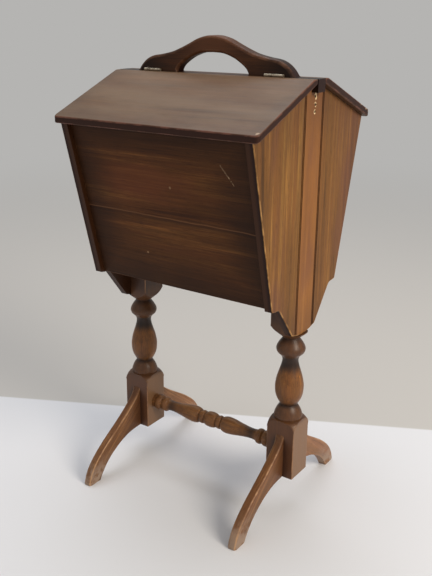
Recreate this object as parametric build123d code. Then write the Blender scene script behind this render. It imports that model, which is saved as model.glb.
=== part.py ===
from build123d import *
import os
from math import atan2, cos, degrees, sin, tan

# A sewing stand: a roofed case with two hinged lids and a carrying handle, held up by
# two turned posts on curved legs, with a turned stretcher between the posts.
# Millimetres. X runs along the ridge, -Y is the front, Z is up, and Z = 0 is the floor.

# Case
PANEL_OUTER_X = 152.0       # outer face of each end panel
PANEL_T = 11.5
PANEL_INNER_X = PANEL_OUTER_X - PANEL_T
CASE_FOOT_Y = 88.8          # lower corner of an end panel's sloping edge
CASE_FOOT_Z = 333.2
CASE_LEAN = atan2(57.4, 225.2)   # how far the front and rear lean outwards
BOARD_T = 9.5
BOARD_RECESS = 7.0          # front and rear boards sit this far inside the panel edges
BOARD_BOTTOM_Z = 333.5
BOTTOM_Z = 340.0            # underside of the bottom board
BOTTOM_T = 9.5
BEAD_Y = 23.7               # the two beads ploughed down each end panel
QUIRK_OUT = 1.55            # a quirk runs at each side of a bead, this far from its middle
QUIRK_R = 1.3

# Lids
LID_HALF_X = 161.0
EAVE_Y = 150.6
EAVE_Z = 567.2
RIDGE_Y = 19.2              # where the slope runs out into the level upper edge
RIDGE_Z = 620.0
LID_T = 9.0
LID_EDGE_Y = 10.3           # upper edge of a lid, beside the handle board
LID_GAP = 0.3               # under the lids, over the panels and boards
SLOPE = atan2(RIDGE_Z - EAVE_Z, EAVE_Y - RIDGE_Y)
EAVE_CORNER_R = 5.5

# Handle board
HANDLE_T = 19.0
HANDLE_FOOT_Z = 560.0
TONGUE_Z = 603.5            # the board's tongues lie on the end panels from here up
HANDLE_TOP_Z = 669.6
HANDLE_END_X = 126.8
GRIP_HALF_X = 58.5
GRIP_TOP_Z = 647.7

# Posts and stretcher
POST_X = 133.5
POST_SIDE = 44.0
POST_FOOT_Z = 53.0
POST_TOP_Z = BOTTOM_Z
LEDGE_Z = 276.0             # an end panel's tip stands just over this ledge of its post
STRETCHER_Z = 93.0
TENON_R = 7.95
TENON_GAP = 0.05
TENON_X = 129.5

# Legs
LEG_T = 12.7
LEG_TOP_Z = 120.0
DOWEL_R = 4.0
DOWEL_Y = (10.5, 33.5)
DOWEL_ZS = (64.0, 90.0)

# Hinges
HINGE_X = 98.5
HINGE_LEN = 28.0
HINGE_Y = 11.8
HINGE_Z = 622.2
KNUCKLE_R = 1.9
MIDDLE_HALF = 5.2           # half length of the lid's own knuckle
KNUCKLE_GAP = 0.3
WEB_HALF = 0.9              # half height of the webs between knuckles and leaf
LEAF_T = 1.0
LEAF_PROUD = 0.2
BOARD_LEAF_DROP = 9.5       # the leaves hang down in the gap between lid and handle board
LID_LEAF_Z = (614.6, 620.0)
PIN_R = 0.95
PIN_GAP = 0.05

# Tray and the cleats that it slides on
CLEAT_W = 10.0
CLEAT_Z = (483.0, 495.0)
CLEAT_HALF_Y = 109.5
TRAY_HALF_X = 139.9
TRAY_Y = (-111.0, -6.0)
TRAY_TOP_Z = 533.0
TRAY_SIDE_T = 6.0
TRAY_BOTTOM_T = 3.5
DIVIDER_X = 47.0
DIVIDER_TOP_Z = 529.0
DIVIDER_T = 4.0

NODES = {}


def roof_z(y, drop):
    """Height over y of a plane that lies drop below the lid tops, measured square to them."""
    return RIDGE_Z + (RIDGE_Y - y) * tan(SLOPE) - drop / cos(SLOPE)


def case_y(z, inset):
    """Half depth at z of a plane that lies inset inside the sloping panel edges."""
    return CASE_FOOT_Y + (z - CASE_FOOT_Z) * tan(CASE_LEAN) - inset / cos(CASE_LEAN)


def eave_corner(inset, drop):
    """Where those two planes meet, as (y, z)."""
    slope, lean = tan(SLOPE), tan(CASE_LEAN)
    z = (roof_z(0, drop) - slope * case_y(0, inset)) / (1 + slope * lean)
    return case_y(z, inset), z


def front_and_rear(shape):
    """The rear piece as drawn, and its mirror image at the front."""
    return {"rear": shape, "front": mirror(shape, about=Plane.XZ)}


def right_and_left(shape):
    """The right piece as drawn, and its mirror image at the left."""
    return {"right": shape, "left": mirror(shape, about=Plane.YZ)}


def block(x, y, z):
    """A box from its low and high X, Y and Z."""
    size = [high - low for low, high in (x, y, z)]
    middle = [(high + low) / 2 for low, high in (x, y, z)]
    return Pos(*middle) * Box(*size)


def rod_x(x, y, z, radius):
    """A round bar along X from x[0] to x[1]."""
    return Pos((x[0] + x[1]) / 2, y, z) * Rot(0, 90, 0) * Cylinder(radius, x[1] - x[0])


def screw(length, shank_r, head_r):
    """A countersunk screw: its head's flat top at the origin, its shank down -Z."""
    cone = Pos(0, 0, -head_r / 4) * Cone(shank_r, head_r, head_r / 2)
    shank = Pos(0, 0, -length / 2) * Cylinder(shank_r, length)
    return cone + shank


def all_of(shapes):
    """Separate solids in one node."""
    return Compound(children=[solid for shape in shapes for solid in shape.solids()])


def without(shape, tools):
    for tool in tools:
        shape = shape - tool
    return shape


# ---------------------------------------------------------------- case

def end_panel():
    """The right end panel: a gabled board with a pointed, curved foot and two quirked beads."""
    eave_y, eave_z = eave_corner(0, LID_T + LID_GAP)
    notch_y = HANDLE_T / 2
    notch_z = roof_z(notch_y, LID_T + LID_GAP)
    upper = [
        (CASE_FOOT_Y, CASE_FOOT_Z), (eave_y, eave_z), (notch_y, notch_z), (notch_y, TONGUE_Z),
        (-notch_y, TONGUE_Z), (-notch_y, notch_z), (-eave_y, eave_z), (-CASE_FOOT_Y, CASE_FOOT_Z),
    ]
    arris, bend, tip = (75.0, 331.5), (66.0, 325.0), (32.0, 281.5)
    edges = Polyline(*upper).edges()
    for side in (1, -1):
        corner = (side * CASE_FOOT_Y, CASE_FOOT_Z)
        edges += [
            ThreePointArc(corner, (side * 82.0, 331.8), (side * arris[0], arris[1])),
            Spline((side * arris[0], arris[1]), (side * 70.0, 329.3), (side * bend[0], bend[1])),
            Line((side * bend[0], bend[1]), (side * tip[0], tip[1])),
        ]
    edges += [ThreePointArc((-tip[0], tip[1]), (0, 276.5), tip)]
    panel = extrude(Plane.YZ.offset(PANEL_INNER_X) * make_face(edges), amount=PANEL_T)
    quirk = Pos(PANEL_OUTER_X, 0, 440) * Cylinder(QUIRK_R, 400)
    offsets = [side * BEAD_Y + out * QUIRK_OUT for side in (1, -1) for out in (1, -1)]
    return without(panel, [Pos(0, y, 0) * quirk for y in offsets])


def long_board():
    """The rear board, between the end panels; its top follows the underside of the lid."""
    inner = BOARD_RECESS + BOARD_T
    drop = LID_T + LID_GAP
    outline = [
        (case_y(BOARD_BOTTOM_Z, inner), BOARD_BOTTOM_Z), (case_y(BOARD_BOTTOM_Z, BOARD_RECESS), BOARD_BOTTOM_Z),
        eave_corner(BOARD_RECESS, drop), eave_corner(inner, drop),
    ]
    return along_case(outline)


def along_case(outline):
    """A (y, z) outline drawn out between the two end panels."""
    face = make_face(Polyline(*outline, close=True).edges())
    return extrude(Plane.YZ.offset(-PANEL_INNER_X) * face, amount=2 * PANEL_INNER_X)


def bottom_board():
    """The floor of the case, its long edges bevelled to the boards' lean."""
    inner = BOARD_RECESS + BOARD_T
    low, high = case_y(BOTTOM_Z, inner), case_y(BOTTOM_Z + BOTTOM_T, inner)
    top_z = BOTTOM_Z + BOTTOM_T
    return along_case([(-low, BOTTOM_Z), (low, BOTTOM_Z), (high, top_z), (-high, top_z)])


def handle_board():
    """Ridge board and carrying handle in one: a crest with an arched grip under it."""
    foot = [(HANDLE_END_X, RIDGE_Z), (LID_HALF_X, RIDGE_Z), (LID_HALF_X, TONGUE_Z), (PANEL_INNER_X, TONGUE_Z),
            (PANEL_INNER_X, HANDLE_FOOT_Z)]
    crest = [(24.2, 665.4), (38.3, 658.8), (66.6, 647.4), (84.8, 643.4), (100.9, 641.2), (113.0, 635.2)]
    mirrored = [(-x, z) for x, z in reversed(crest)]
    top = Spline((-HANDLE_END_X, RIDGE_Z), *mirrored, (0, HANDLE_TOP_Z), *crest, (HANDLE_END_X, RIDGE_Z))
    sides = Polyline(*foot, *[(-x, z) for x, z in reversed(foot)])
    board = extrude(Plane.XZ.offset(-HANDLE_T / 2) * make_face([top] + sides.edges()), amount=HANDLE_T)
    rise = [(54.0, 628.5), (33.0, 641.3)]
    arch = Spline((-GRIP_HALF_X, RIDGE_Z), (-54.0, 628.5), (-33.0, 641.3), (0, GRIP_TOP_Z), *reversed(rise),
                  (GRIP_HALF_X, RIDGE_Z))
    grip = make_face([arch, Line((GRIP_HALF_X, RIDGE_Z), (-GRIP_HALF_X, RIDGE_Z))])
    return board - extrude(Plane.XZ.offset(-HANDLE_T) * grip, amount=2 * HANDLE_T)


# ---------------------------------------------------------------- lids

def lid():
    """The rear lid: a plain board, level at its upper edge, its eave corners rounded."""
    outline = [
        (LID_EDGE_Y, RIDGE_Z), (RIDGE_Y, RIDGE_Z), (EAVE_Y, EAVE_Z),
        (EAVE_Y, roof_z(EAVE_Y, LID_T)), (LID_EDGE_Y, roof_z(LID_EDGE_Y, LID_T)),
    ]
    face = make_face(Polyline(*outline, close=True).edges())
    eave = [v for v in face.vertices() if v.X > EAVE_Y - 1]
    face = fillet(eave, 2.0)
    slab = extrude(Plane.YZ.offset(-LID_HALF_X) * face, amount=2 * LID_HALF_X)
    plan = Pos(0, EAVE_Y / 2) * Rectangle(2 * LID_HALF_X, EAVE_Y)
    plan = fillet([v for v in plan.vertices() if v.Y > 1], EAVE_CORNER_R)
    return slab & extrude(Pos(0, 0, EAVE_Z - 20) * plan, amount=100)


# ---------------------------------------------------------------- posts, legs, stretcher

def post():
    """The right post: two square blocks with a bulb, a vase and a bell turned between them."""
    half = POST_SIDE / 2
    corner_r = half * 2 ** 0.5 + 1
    outline = [
        Polyline((0, POST_TOP_Z), (corner_r, POST_TOP_Z), (corner_r, 286.3)),
        Spline((corner_r, 286.3), (22.5, 276.0), (11.4, 266.3)),
        Spline((11.4, 266.3), (17.7, 257.5), (20.7, 250.4), (19.3, 244.6), (15.4, 240.8)),
        Spline((15.4, 240.8), (11.4, 231.6), (12.7, 224.0), (18.3, 205.7), (20.6, 189.8), (17.6, 173.0),
               (12.2, 162.5)),
        Spline((12.2, 162.5), (17.6, 154.6), (19.5, 149.4)),
        Spline((19.5, 149.4), (20.6, 147.2), (20.6, 143.8), (20.0, 142.2)),
        Spline((20.0, 142.2), (24.5, 140.6), (28.2, 137.0), (30.6, 132.4), (corner_r, 127.5)),
        Polyline((corner_r, 127.5), (corner_r, POST_FOOT_Z), (0, POST_FOOT_Z), (0, POST_TOP_Z)),
    ]
    edges = [edge for curve in outline for edge in curve.edges()]
    turned = revolve(Plane.XZ * make_face(edges), Axis.Z, 360)
    square = block((-half, half), (-half, half), (POST_FOOT_Z, POST_TOP_Z))
    notch = block((PANEL_INNER_X - POST_X, half + 1), (-half - 1, half + 1), (LEDGE_Z, POST_TOP_Z + 1))
    mortise = rod_x((-half - 1, TENON_X - POST_X + 0.5), 0, STRETCHER_Z, TENON_R + TENON_GAP)
    return Pos(POST_X, 0, 0) * ((turned & square) - notch - mortise)


def bead(x0, x1, edge_r, middle_r):
    return ThreePointArc((x0, edge_r), ((x0 + x1) / 2, middle_r), (x1, edge_r))


def stretcher():
    """The turned rail between the posts, with a round tenon at each end."""
    face_x = POST_X - POST_SIDE / 2
    right = [
        bead(0, 10.2, 8.4, 8.5),
        Line((10.2, 8.4), (11.6, 8.3)),
        bead(11.6, 19.9, 8.3, 10.6),
        Line((19.9, 8.3), (21.0, 8.6)),
        Spline((21.0, 8.6), (22.0, 10.9), (31.0, 13.0), (52.0, 10.3), (75.5, 7.9), (83.5, 8.9)),
        bead(83.5, 93.8, 8.9, 11.8),
        Line((93.8, 8.9), (95.2, 9.4)),
        bead(95.2, 106.4, 9.4, 12.6),
        Polyline((106.4, 9.4), (107.0, 11.4), (face_x, 11.0), (face_x, TENON_R), (TENON_X, TENON_R), (TENON_X, 0),
                 (0, 0), (0, 8.4)),
    ]
    edges = [edge for curve in right for edge in curve.edges()]
    half = revolve(make_face(edges), Axis.X, 360)
    middle = revolve(make_face([bead(-10.2, 10.2, 8.4, 12.2), *Polyline((10.2, 8.4), (10.2, 0), (-10.2, 0),
                     (-10.2, 8.4)).edges()]), Axis.X, 360)
    return Pos(0, 0, STRETCHER_Z) * (half + mirror(half, about=Plane.YZ) + middle)


def leg():
    """The right rear leg: a bracket-shaped foot cut from one board, doweled to its post."""
    face_y = POST_SIDE / 2
    top = Spline((face_y, LEG_TOP_Z), (30.0, 106.5), (54.0, 87.0), (80.5, 70.0), (103.0, 56.0), (131.0, 33.5),
                 (145.0, 13.0), (148.6, 3.0))
    toe = ThreePointArc((148.6, 3.0), (148.2, 0.8), (146.2, 0))
    sole = Line((146.2, 0), (123.8, 0))
    under = Spline((123.8, 0), (118.0, 9.0), (104.0, 24.3), (82.0, 39.0), (52.0, 50.8), (face_y, POST_FOOT_Z))
    face = make_face([top, toe, sole, under, Line((face_y, POST_FOOT_Z), (face_y, LEG_TOP_Z))])
    return extrude(Plane.YZ.offset(POST_X - LEG_T / 2) * face, amount=LEG_T)


def leg_dowels():
    """The right rear leg's two dowels, half in the leg and half in the post."""
    length = DOWEL_Y[1] - DOWEL_Y[0]
    return [Pos(POST_X, sum(DOWEL_Y) / 2, z) * Rot(90, 0, 0) * Cylinder(DOWEL_R, length) for z in DOWEL_ZS]


# ---------------------------------------------------------------- hinges

def fixed_leaf():
    """The rear right hinge's leaf, let into the handle board's face, with the two outer knuckles."""
    plate_y = (HANDLE_T / 2 + LEAF_PROUD - LEAF_T, HANDLE_T / 2 + LEAF_PROUD)
    half = HINGE_LEN / 2
    web_z = (HINGE_Z - WEB_HALF, HINGE_Z + WEB_HALF)
    leaf = block((-half, half), plate_y, (HINGE_Z - BOARD_LEAF_DROP, web_z[1]))
    room = MIDDLE_HALF + KNUCKLE_GAP
    leaf = leaf - rod_x((-room, room), HINGE_Y, HINGE_Z, KNUCKLE_R + KNUCKLE_GAP)
    for x in ((-half, -room), (room, half)):
        leaf = leaf + rod_x(x, HINGE_Y, HINGE_Z, KNUCKLE_R) + block(x, (plate_y[0], HINGE_Y), web_z)
    return leaf - rod_x((-half - 1, half + 1), HINGE_Y, HINGE_Z, PIN_R)


def lid_leaf_plate(room=0.0):
    """The rear right hinge's plate in the lid's upper edge; room widens it into its recess."""
    half = HINGE_LEN / 2 + room
    plate_y = (LID_EDGE_Y - LEAF_PROUD - room, LID_EDGE_Y - LEAF_PROUD + LEAF_T)
    return block((-half, half), plate_y, (LID_LEAF_Z[0] - room, LID_LEAF_Z[1] + room))


def lid_leaf():
    """The rear right hinge's leaf on the lid, with the middle knuckle."""
    half = HINGE_LEN / 2
    middle = (-MIDDLE_HALF, MIDDLE_HALF)
    web_y = (LID_EDGE_Y - LEAF_PROUD, LID_EDGE_Y - LEAF_PROUD + LEAF_T)
    web = block(middle, web_y, (LID_LEAF_Z[1] - 1, HINGE_Z))
    leaf = lid_leaf_plate() + web + rod_x(middle, HINGE_Y, HINGE_Z, KNUCKLE_R)
    return leaf - rod_x((-half, half), HINGE_Y, HINGE_Z, PIN_R + PIN_GAP)


def hinge_pin():
    half = HINGE_LEN / 2 + 0.4
    return rod_x((-half, half), HINGE_Y, HINGE_Z, PIN_R)


def board_hinge_screws():
    """Two screws through the rear right hinge's leaf into the handle board."""
    head_y = HANDLE_T / 2 + LEAF_PROUD
    return [Pos(x, head_y, HINGE_Z - 6.2) * Rot(-90, 0, 0) * screw(7.5, 0.9, 1.7) for x in (-8.5, 8.5)]


def lid_hinge_screws():
    """Two screws through the rear right hinge's leaf into the lid's upper edge."""
    head_y = LID_EDGE_Y - LEAF_PROUD
    return [Pos(x, head_y, sum(LID_LEAF_Z) / 2) * Rot(90, 0, 0) * screw(7.0, 0.8, 1.5) for x in (-8.5, 8.5)]


# ---------------------------------------------------------------- tray

def tray():
    """A shallow tray of three compartments that slides from front to rear on two cleats."""
    low, high = TRAY_Y
    floor_z = CLEAT_Z[1]
    wall_z = (floor_z + TRAY_BOTTOM_T, TRAY_TOP_Z)
    inner_x = TRAY_HALF_X - TRAY_SIDE_T
    inner_y = (low + TRAY_SIDE_T, high - TRAY_SIDE_T)
    long_side = (-TRAY_HALF_X, TRAY_HALF_X)
    pieces = {
        "tray_bottom": block(long_side, TRAY_Y, (floor_z, wall_z[0])),
        "tray_front": block(long_side, (low, inner_y[0]), wall_z),
        "tray_rear": block(long_side, (inner_y[1], high), wall_z),
        "tray_end_left": block((-TRAY_HALF_X, -inner_x), inner_y, wall_z),
        "tray_end_right": block((inner_x, TRAY_HALF_X), inner_y, wall_z),
    }
    for side, x in (("left", -DIVIDER_X), ("right", DIVIDER_X)):
        span = (x - DIVIDER_T / 2, x + DIVIDER_T / 2)
        pieces[f"tray_divider_{side}"] = block(span, inner_y, (wall_z[0], DIVIDER_TOP_Z))
    return pieces


def cleat_and_screws():
    """The right cleat, on the inner face of its end panel, and its two screws."""
    cleat = block((PANEL_INNER_X - CLEAT_W, PANEL_INNER_X), (-CLEAT_HALF_Y, CLEAT_HALF_Y), CLEAT_Z)
    middle_z = sum(CLEAT_Z) / 2
    head_x = PANEL_INNER_X - CLEAT_W
    screws = [Pos(head_x, y, middle_z) * Rot(0, -90, 0) * screw(17.0, 1.6, 3.2) for y in (-70, 70)]
    return cleat, screws


# ---------------------------------------------------------------- fasteners in the frame

def ridge_nails():
    """Three nails through the right end panel into the end of the handle board."""
    nails = []
    for y, z in ((1.5, 598.0), (2.5, 588.0), (1.5, 579.0)):
        head = rod_x((PANEL_OUTER_X - 0.8, PANEL_OUTER_X), y, z, 1.7)
        nails.append(head + rod_x((PANEL_OUTER_X - 26.0, PANEL_OUTER_X - 0.8), y, z, 0.9))
    return nails


def post_screws():
    """Two screws down through the bottom board into the top of the right post."""
    x = (POST_X - POST_SIDE / 2 + PANEL_INNER_X) / 2
    return [Pos(x, y, BOTTOM_Z + BOTTOM_T) * screw(34.0, 2.0, 4.2) for y in (-11, 11)]


# ---------------------------------------------------------------- put together

def build_case():
    panels = right_and_left(end_panel())
    handle = handle_board()
    lids = front_and_rear(lid())
    bottom = bottom_board()
    posts = right_and_left(post())
    nails, cleat_screws, bottom_screws = [], [], []

    cleat, cleat_pair = cleat_and_screws()
    cleats = right_and_left(without(cleat, cleat_pair))
    for side in ("right", "left"):
        side_nails = [right_and_left(nail)[side] for nail in ridge_nails()]
        side_cleat_screws = [right_and_left(one)[side] for one in cleat_pair]
        side_post_screws = [right_and_left(one)[side] for one in post_screws()]
        nails += side_nails
        cleat_screws += side_cleat_screws
        bottom_screws += side_post_screws
        NODES[f"end_panel_{side}"] = without(panels[side], side_nails + side_cleat_screws)
        NODES[f"tray_cleat_{side}"] = cleats[side]
        handle = without(handle, side_nails)
        bottom = without(bottom, side_post_screws)
        posts[side] = without(posts[side], side_post_screws)

    for end, board in front_and_rear(long_board()).items():
        NODES[f"{end}_board"] = board
    NODES["bottom_board"] = bottom
    NODES["ridge_nails"] = all_of(nails)
    NODES["cleat_screws"] = all_of(cleat_screws)
    NODES["post_screws"] = all_of(bottom_screws)
    build_stand(posts)
    build_hinges(handle, lids)


def build_stand(posts):
    dowels = []
    for end in ("rear", "front"):
        for side in ("right", "left"):
            here = [right_and_left(front_and_rear(one)[end])[side] for one in leg_dowels()]
            one_leg = right_and_left(front_and_rear(leg())[end])[side]
            NODES[f"leg_{side}_{end}"] = without(one_leg, here)
            posts[side] = without(posts[side], here)
            dowels += here
    NODES["leg_dowels"] = all_of(dowels)
    NODES["post_right"] = posts["right"]
    NODES["post_left"] = posts["left"]
    NODES["stretcher"] = stretcher()


def build_hinges(handle, lids):
    board_screws = []
    for end in ("rear", "front"):
        lid_screws = []
        for side, x in (("right", HINGE_X), ("left", -HINGE_X)):
            place = Pos(x, 0, 0)
            to_board = [front_and_rear(place * one)[end] for one in board_hinge_screws()]
            to_lid = [front_and_rear(place * one)[end] for one in lid_hinge_screws()]
            fixed = front_and_rear(place * fixed_leaf())[end]
            recess = front_and_rear(place * lid_leaf_plate(room=0.15))[end]
            name = f"hinge_{end}_{side}"
            NODES[f"{name}_board_leaf"] = without(fixed, to_board)
            NODES[f"{name}_lid_leaf"] = without(front_and_rear(place * lid_leaf())[end], to_lid)
            NODES[f"{name}_pin"] = front_and_rear(place * hinge_pin())[end]
            handle = without(handle, to_board + [fixed])
            lids[end] = without(lids[end], to_lid + [recess])
            board_screws += to_board
            lid_screws += to_lid
        NODES[f"{end}_lid"] = lids[end]
        NODES[f"hinge_screws_{end}_lid"] = all_of(lid_screws)
    NODES["handle_board"] = handle
    NODES["hinge_screws_handle"] = all_of(board_screws)


build_case()
NODES.update(tray())
os.makedirs("parts", exist_ok=True)
for node, shape in NODES.items():
    export_step(shape, f"parts/{node}.step")
print(len(NODES), "nodes")
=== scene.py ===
import math

import bmesh
import bpy
from mathutils import Matrix, Vector
from mathutils.geometry import interpolate_bezier


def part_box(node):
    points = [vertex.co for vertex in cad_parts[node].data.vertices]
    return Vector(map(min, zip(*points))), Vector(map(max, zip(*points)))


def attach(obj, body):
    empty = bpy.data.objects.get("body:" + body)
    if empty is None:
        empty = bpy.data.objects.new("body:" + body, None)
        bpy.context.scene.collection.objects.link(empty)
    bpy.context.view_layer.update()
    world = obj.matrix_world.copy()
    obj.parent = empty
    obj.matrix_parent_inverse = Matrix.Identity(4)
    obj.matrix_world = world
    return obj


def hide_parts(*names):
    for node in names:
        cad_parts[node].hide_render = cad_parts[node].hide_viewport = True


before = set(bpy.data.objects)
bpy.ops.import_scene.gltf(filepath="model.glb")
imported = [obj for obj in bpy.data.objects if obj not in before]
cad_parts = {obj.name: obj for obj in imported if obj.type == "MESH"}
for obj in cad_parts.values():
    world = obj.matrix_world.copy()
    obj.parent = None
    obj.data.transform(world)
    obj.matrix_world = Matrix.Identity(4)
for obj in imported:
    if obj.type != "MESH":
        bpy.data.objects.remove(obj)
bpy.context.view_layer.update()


# ---- End panels -------------------------------------------------------------------------
# Two gabled boards, sawn with a pointed, curved foot. The grain runs upright, each has two
# quirked beads ploughed down its outer face, and its arrises are eased by hand.

# Outlines and turnings are drawn in millimetres; a size times MM is in metres, as the mesh is.
MM = 0.001
PANEL_T = 11.5 * MM
BEAD_Y = 23.7 * MM
QUIRK_OUT = 1.55 * MM
QUIRK_R = 1.3 * MM
QUIRK_CUTS = 4
PANEL_EASE = 1.3 * MM
EASED_BELOW = 565 * MM
NAIL_CHIPS = [(152, 1.5, 600.5), (152, 3.2, 596.5), (152, 2.3, 588.2), (152, 1.3, 578.5)]
UPRIGHT = (0, math.radians(90), 0)


def rgb(shade):
    """A colour written as on a paint chart, such as 8a5a32, as the shader wants it."""
    parts = [int(shade[i:i + 2], 16) / 255 for i in (0, 2, 4)]
    return [p / 12.92 if p <= 0.04045 else ((p + 0.055) / 1.055) ** 2.4 for p in parts] + [1.0]


def put(tree, kind, inputs=None, **settings):
    """Adds a node, sets what it is, and links or sets each of its inputs."""
    made = tree.nodes.new("ShaderNode" + kind)
    for name, value in settings.items():
        setattr(made, name, value)
    for key, value in (inputs or {}).items():
        if isinstance(value, bpy.types.NodeSocket):
            tree.links.new(value, made.inputs[key])
        else:
            made.inputs[key].default_value = value
    return made


def mix(tree, factor, a, b, blend="MIX"):
    made = put(tree, "Mix", {0: factor, 6: a, 7: b}, data_type="RGBA", blend_type=blend, clamp_factor=True)
    return made.outputs[2]


def maths(tree, operation, a, b=0.0, clamp=False):
    return put(tree, "Math", {0: a, 1: b}, operation=operation, use_clamp=clamp).outputs[0]


def plus(tree, a, b):
    return maths(tree, "ADD", a, b)


def times(tree, a, b):
    return maths(tree, "MULTIPLY", a, b)


def size_of(tree, value):
    return maths(tree, "ABSOLUTE", value)


def apart(tree, a, b):
    """How far one value is from another."""
    return size_of(tree, maths(tree, "SUBTRACT", a, b))


def vectors(tree, operation, a, b=(0, 0, 0)):
    """Vector maths. Lengths, distances and products come out as a value."""
    made = put(tree, "VectorMath", {0: a, 1: b}, operation=operation)
    return made.outputs["Value" if operation in ("LENGTH", "DISTANCE", "DOT_PRODUCT") else "Vector"]


def axes(tree, vector):
    """The X, Y and Z of a vector."""
    return put(tree, "SeparateXYZ", {0: vector}).outputs


def between(tree, value, low, high, to_low=0.0, to_high=1.0):
    """The value's place between low and high, eased at both ends."""
    inputs = {"Value": value, "From Min": low, "From Max": high, "To Min": to_low, "To Max": to_high}
    return put(tree, "MapRange", inputs, interpolation_type="SMOOTHSTEP").outputs["Result"]


def noise(tree, vector, stretch, detail, rough=0.5, distort=0.0):
    """Noise whose spots are as many per metre along X, Y and Z as stretch says."""
    pulled = put(tree, "Mapping", {"Vector": vector, "Scale": stretch}).outputs[0]
    inputs = {"Vector": pulled, "Scale": 1.0, "Detail": detail, "Roughness": rough, "Distortion": distort}
    return put(tree, "TexNoise", inputs).outputs["Fac"]


def uneven(tree, value, vector, amount, stretch, detail, rough=0.5):
    """The value made uneven by noise, by up to half the amount either way."""
    spots = maths(tree, "SUBTRACT", noise(tree, vector, stretch, detail, rough), 0.5)
    return plus(tree, value, times(tree, spots, amount))


def group_with(name, ins, outs):
    """An empty node group with those sockets: its tree, what it is given and what it puts out."""
    tree = bpy.data.node_groups.new(name, "ShaderNodeTree")
    for label, kind in ins.items():
        tree.interface.new_socket(label, in_out="INPUT", socket_type="NodeSocket" + kind)
    for label, kind in outs.items():
        tree.interface.new_socket(label, in_out="OUTPUT", socket_type="NodeSocket" + kind)
    return tree, tree.nodes.new("NodeGroupInput").outputs, tree.nodes.new("NodeGroupOutput").inputs


def make_wood_grain():
    """Stained wood with its grain along X: streaks, fine lines and pores."""
    ins = {"Vector": "Vector", "Light": "Color", "Middle": "Color", "Dark": "Color", "Contrast": "Float"}
    outs = {"Color": "Color", "Roughness": "Float", "Height": "Float"}
    tree, given, out = group_with("wood_grain", ins, outs)
    vector = given["Vector"]
    bands = noise(tree, vector, (2.2, 34, 34), 4.0, 0.55, 0.9)
    streaks = noise(tree, vector, (5.0, 150, 150), 4.0, 0.6, 0.5)
    lines = noise(tree, vector, (16, 620, 620), 3.0, 0.6)
    pores = between(tree, noise(tree, vector, (70, 1900, 1900), 1.0), 0.60, 0.72)
    hue = noise(tree, vector, (4.0, 60, 60), 2.0)
    mixed = plus(tree, times(tree, bands, 0.5), times(tree, streaks, 0.5))
    spread = times(tree, maths(tree, "SUBTRACT", mixed, 0.5), given["Contrast"])
    tone = maths(tree, "ADD", spread, 0.5, clamp=True)
    lower = mix(tree, between(tree, tone, 0.15, 0.5), given["Dark"], given["Middle"])
    whole = mix(tree, between(tree, tone, 0.5, 0.85), lower, given["Light"])
    olive = mix(tree, between(tree, hue, 0.35, 0.65), rgb("f2ecc8"), rgb("fff0d8"))
    tinted = mix(tree, 0.75, whole, olive, "MULTIPLY")
    lined = mix(tree, between(tree, lines, 0.3, 0.7, 0.48, 0.0), tinted, given["Dark"])
    pored = mix(tree, times(tree, pores, 0.55), lined, rgb("1c0f08"))
    height = maths(tree, "SUBTRACT", times(tree, lines, 0.5), times(tree, pores, 0.6))
    tree.links.new(pored, out["Color"])
    tree.links.new(between(tree, lines, 0.2, 0.8, 0.0, 0.12), out["Roughness"])
    tree.links.new(height, out["Height"])
    return tree


def make_arris_wear():
    """Where the varnish is rubbed through: the eased arrises that carry the mark, in patches."""
    tree, given, out = group_with("arris_wear", {"Vector": "Vector", "Amount": "Float"}, {"Mask": "Float"})
    mark = put(tree, "Attribute", attribute_name="arris").outputs["Fac"]
    patches = noise(tree, given["Vector"], (45, 45, 45), 4.0, 0.65)
    rubbed = times(tree, mark, between(tree, patches, 0.38, 0.62, 0.15, 1.0))
    tree.links.new(times(tree, rubbed, given["Amount"]), out["Mask"])
    return tree


def in_halves(tree, given):
    """Where a point lies from a group's Centre, along each axis, in its Half sizes."""
    away = vectors(tree, "SUBTRACT", given["Vector"], given["Centre"])
    return vectors(tree, "DIVIDE", away, given["Half"])


def make_chip():
    """A mask over one ragged flake, of a given half size, round a centre."""
    ins = {"Vector": "Vector", "Centre": "Vector", "Half": "Vector"}
    tree, given, out = group_with("chip", ins, {"Mask": "Float"})
    far = vectors(tree, "LENGTH", in_halves(tree, given))
    ragged = uneven(tree, far, given["Vector"], 2.6, (420, 420, 420), 4.0, 0.7)
    tree.links.new(between(tree, ragged, 1.0, 0.8), out["Mask"])
    return tree


wood_grain = make_wood_grain()
arris_wear = make_arris_wear()
chip = make_chip()


def masked(tree, group, values):
    """One of the mask groups, placed in a material; its mask."""
    return put(tree, "Group", values, node_tree=group).outputs["Mask"]


def blank(name):
    """A new material: its node tree, its shader, and the place on the piece that patterns go by."""
    material = bpy.data.materials.new(name)
    material.use_nodes = True
    tree = material.node_tree
    return material, tree, tree.nodes["Principled BSDF"], put(tree, "TexCoord").outputs["Object"]


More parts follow.
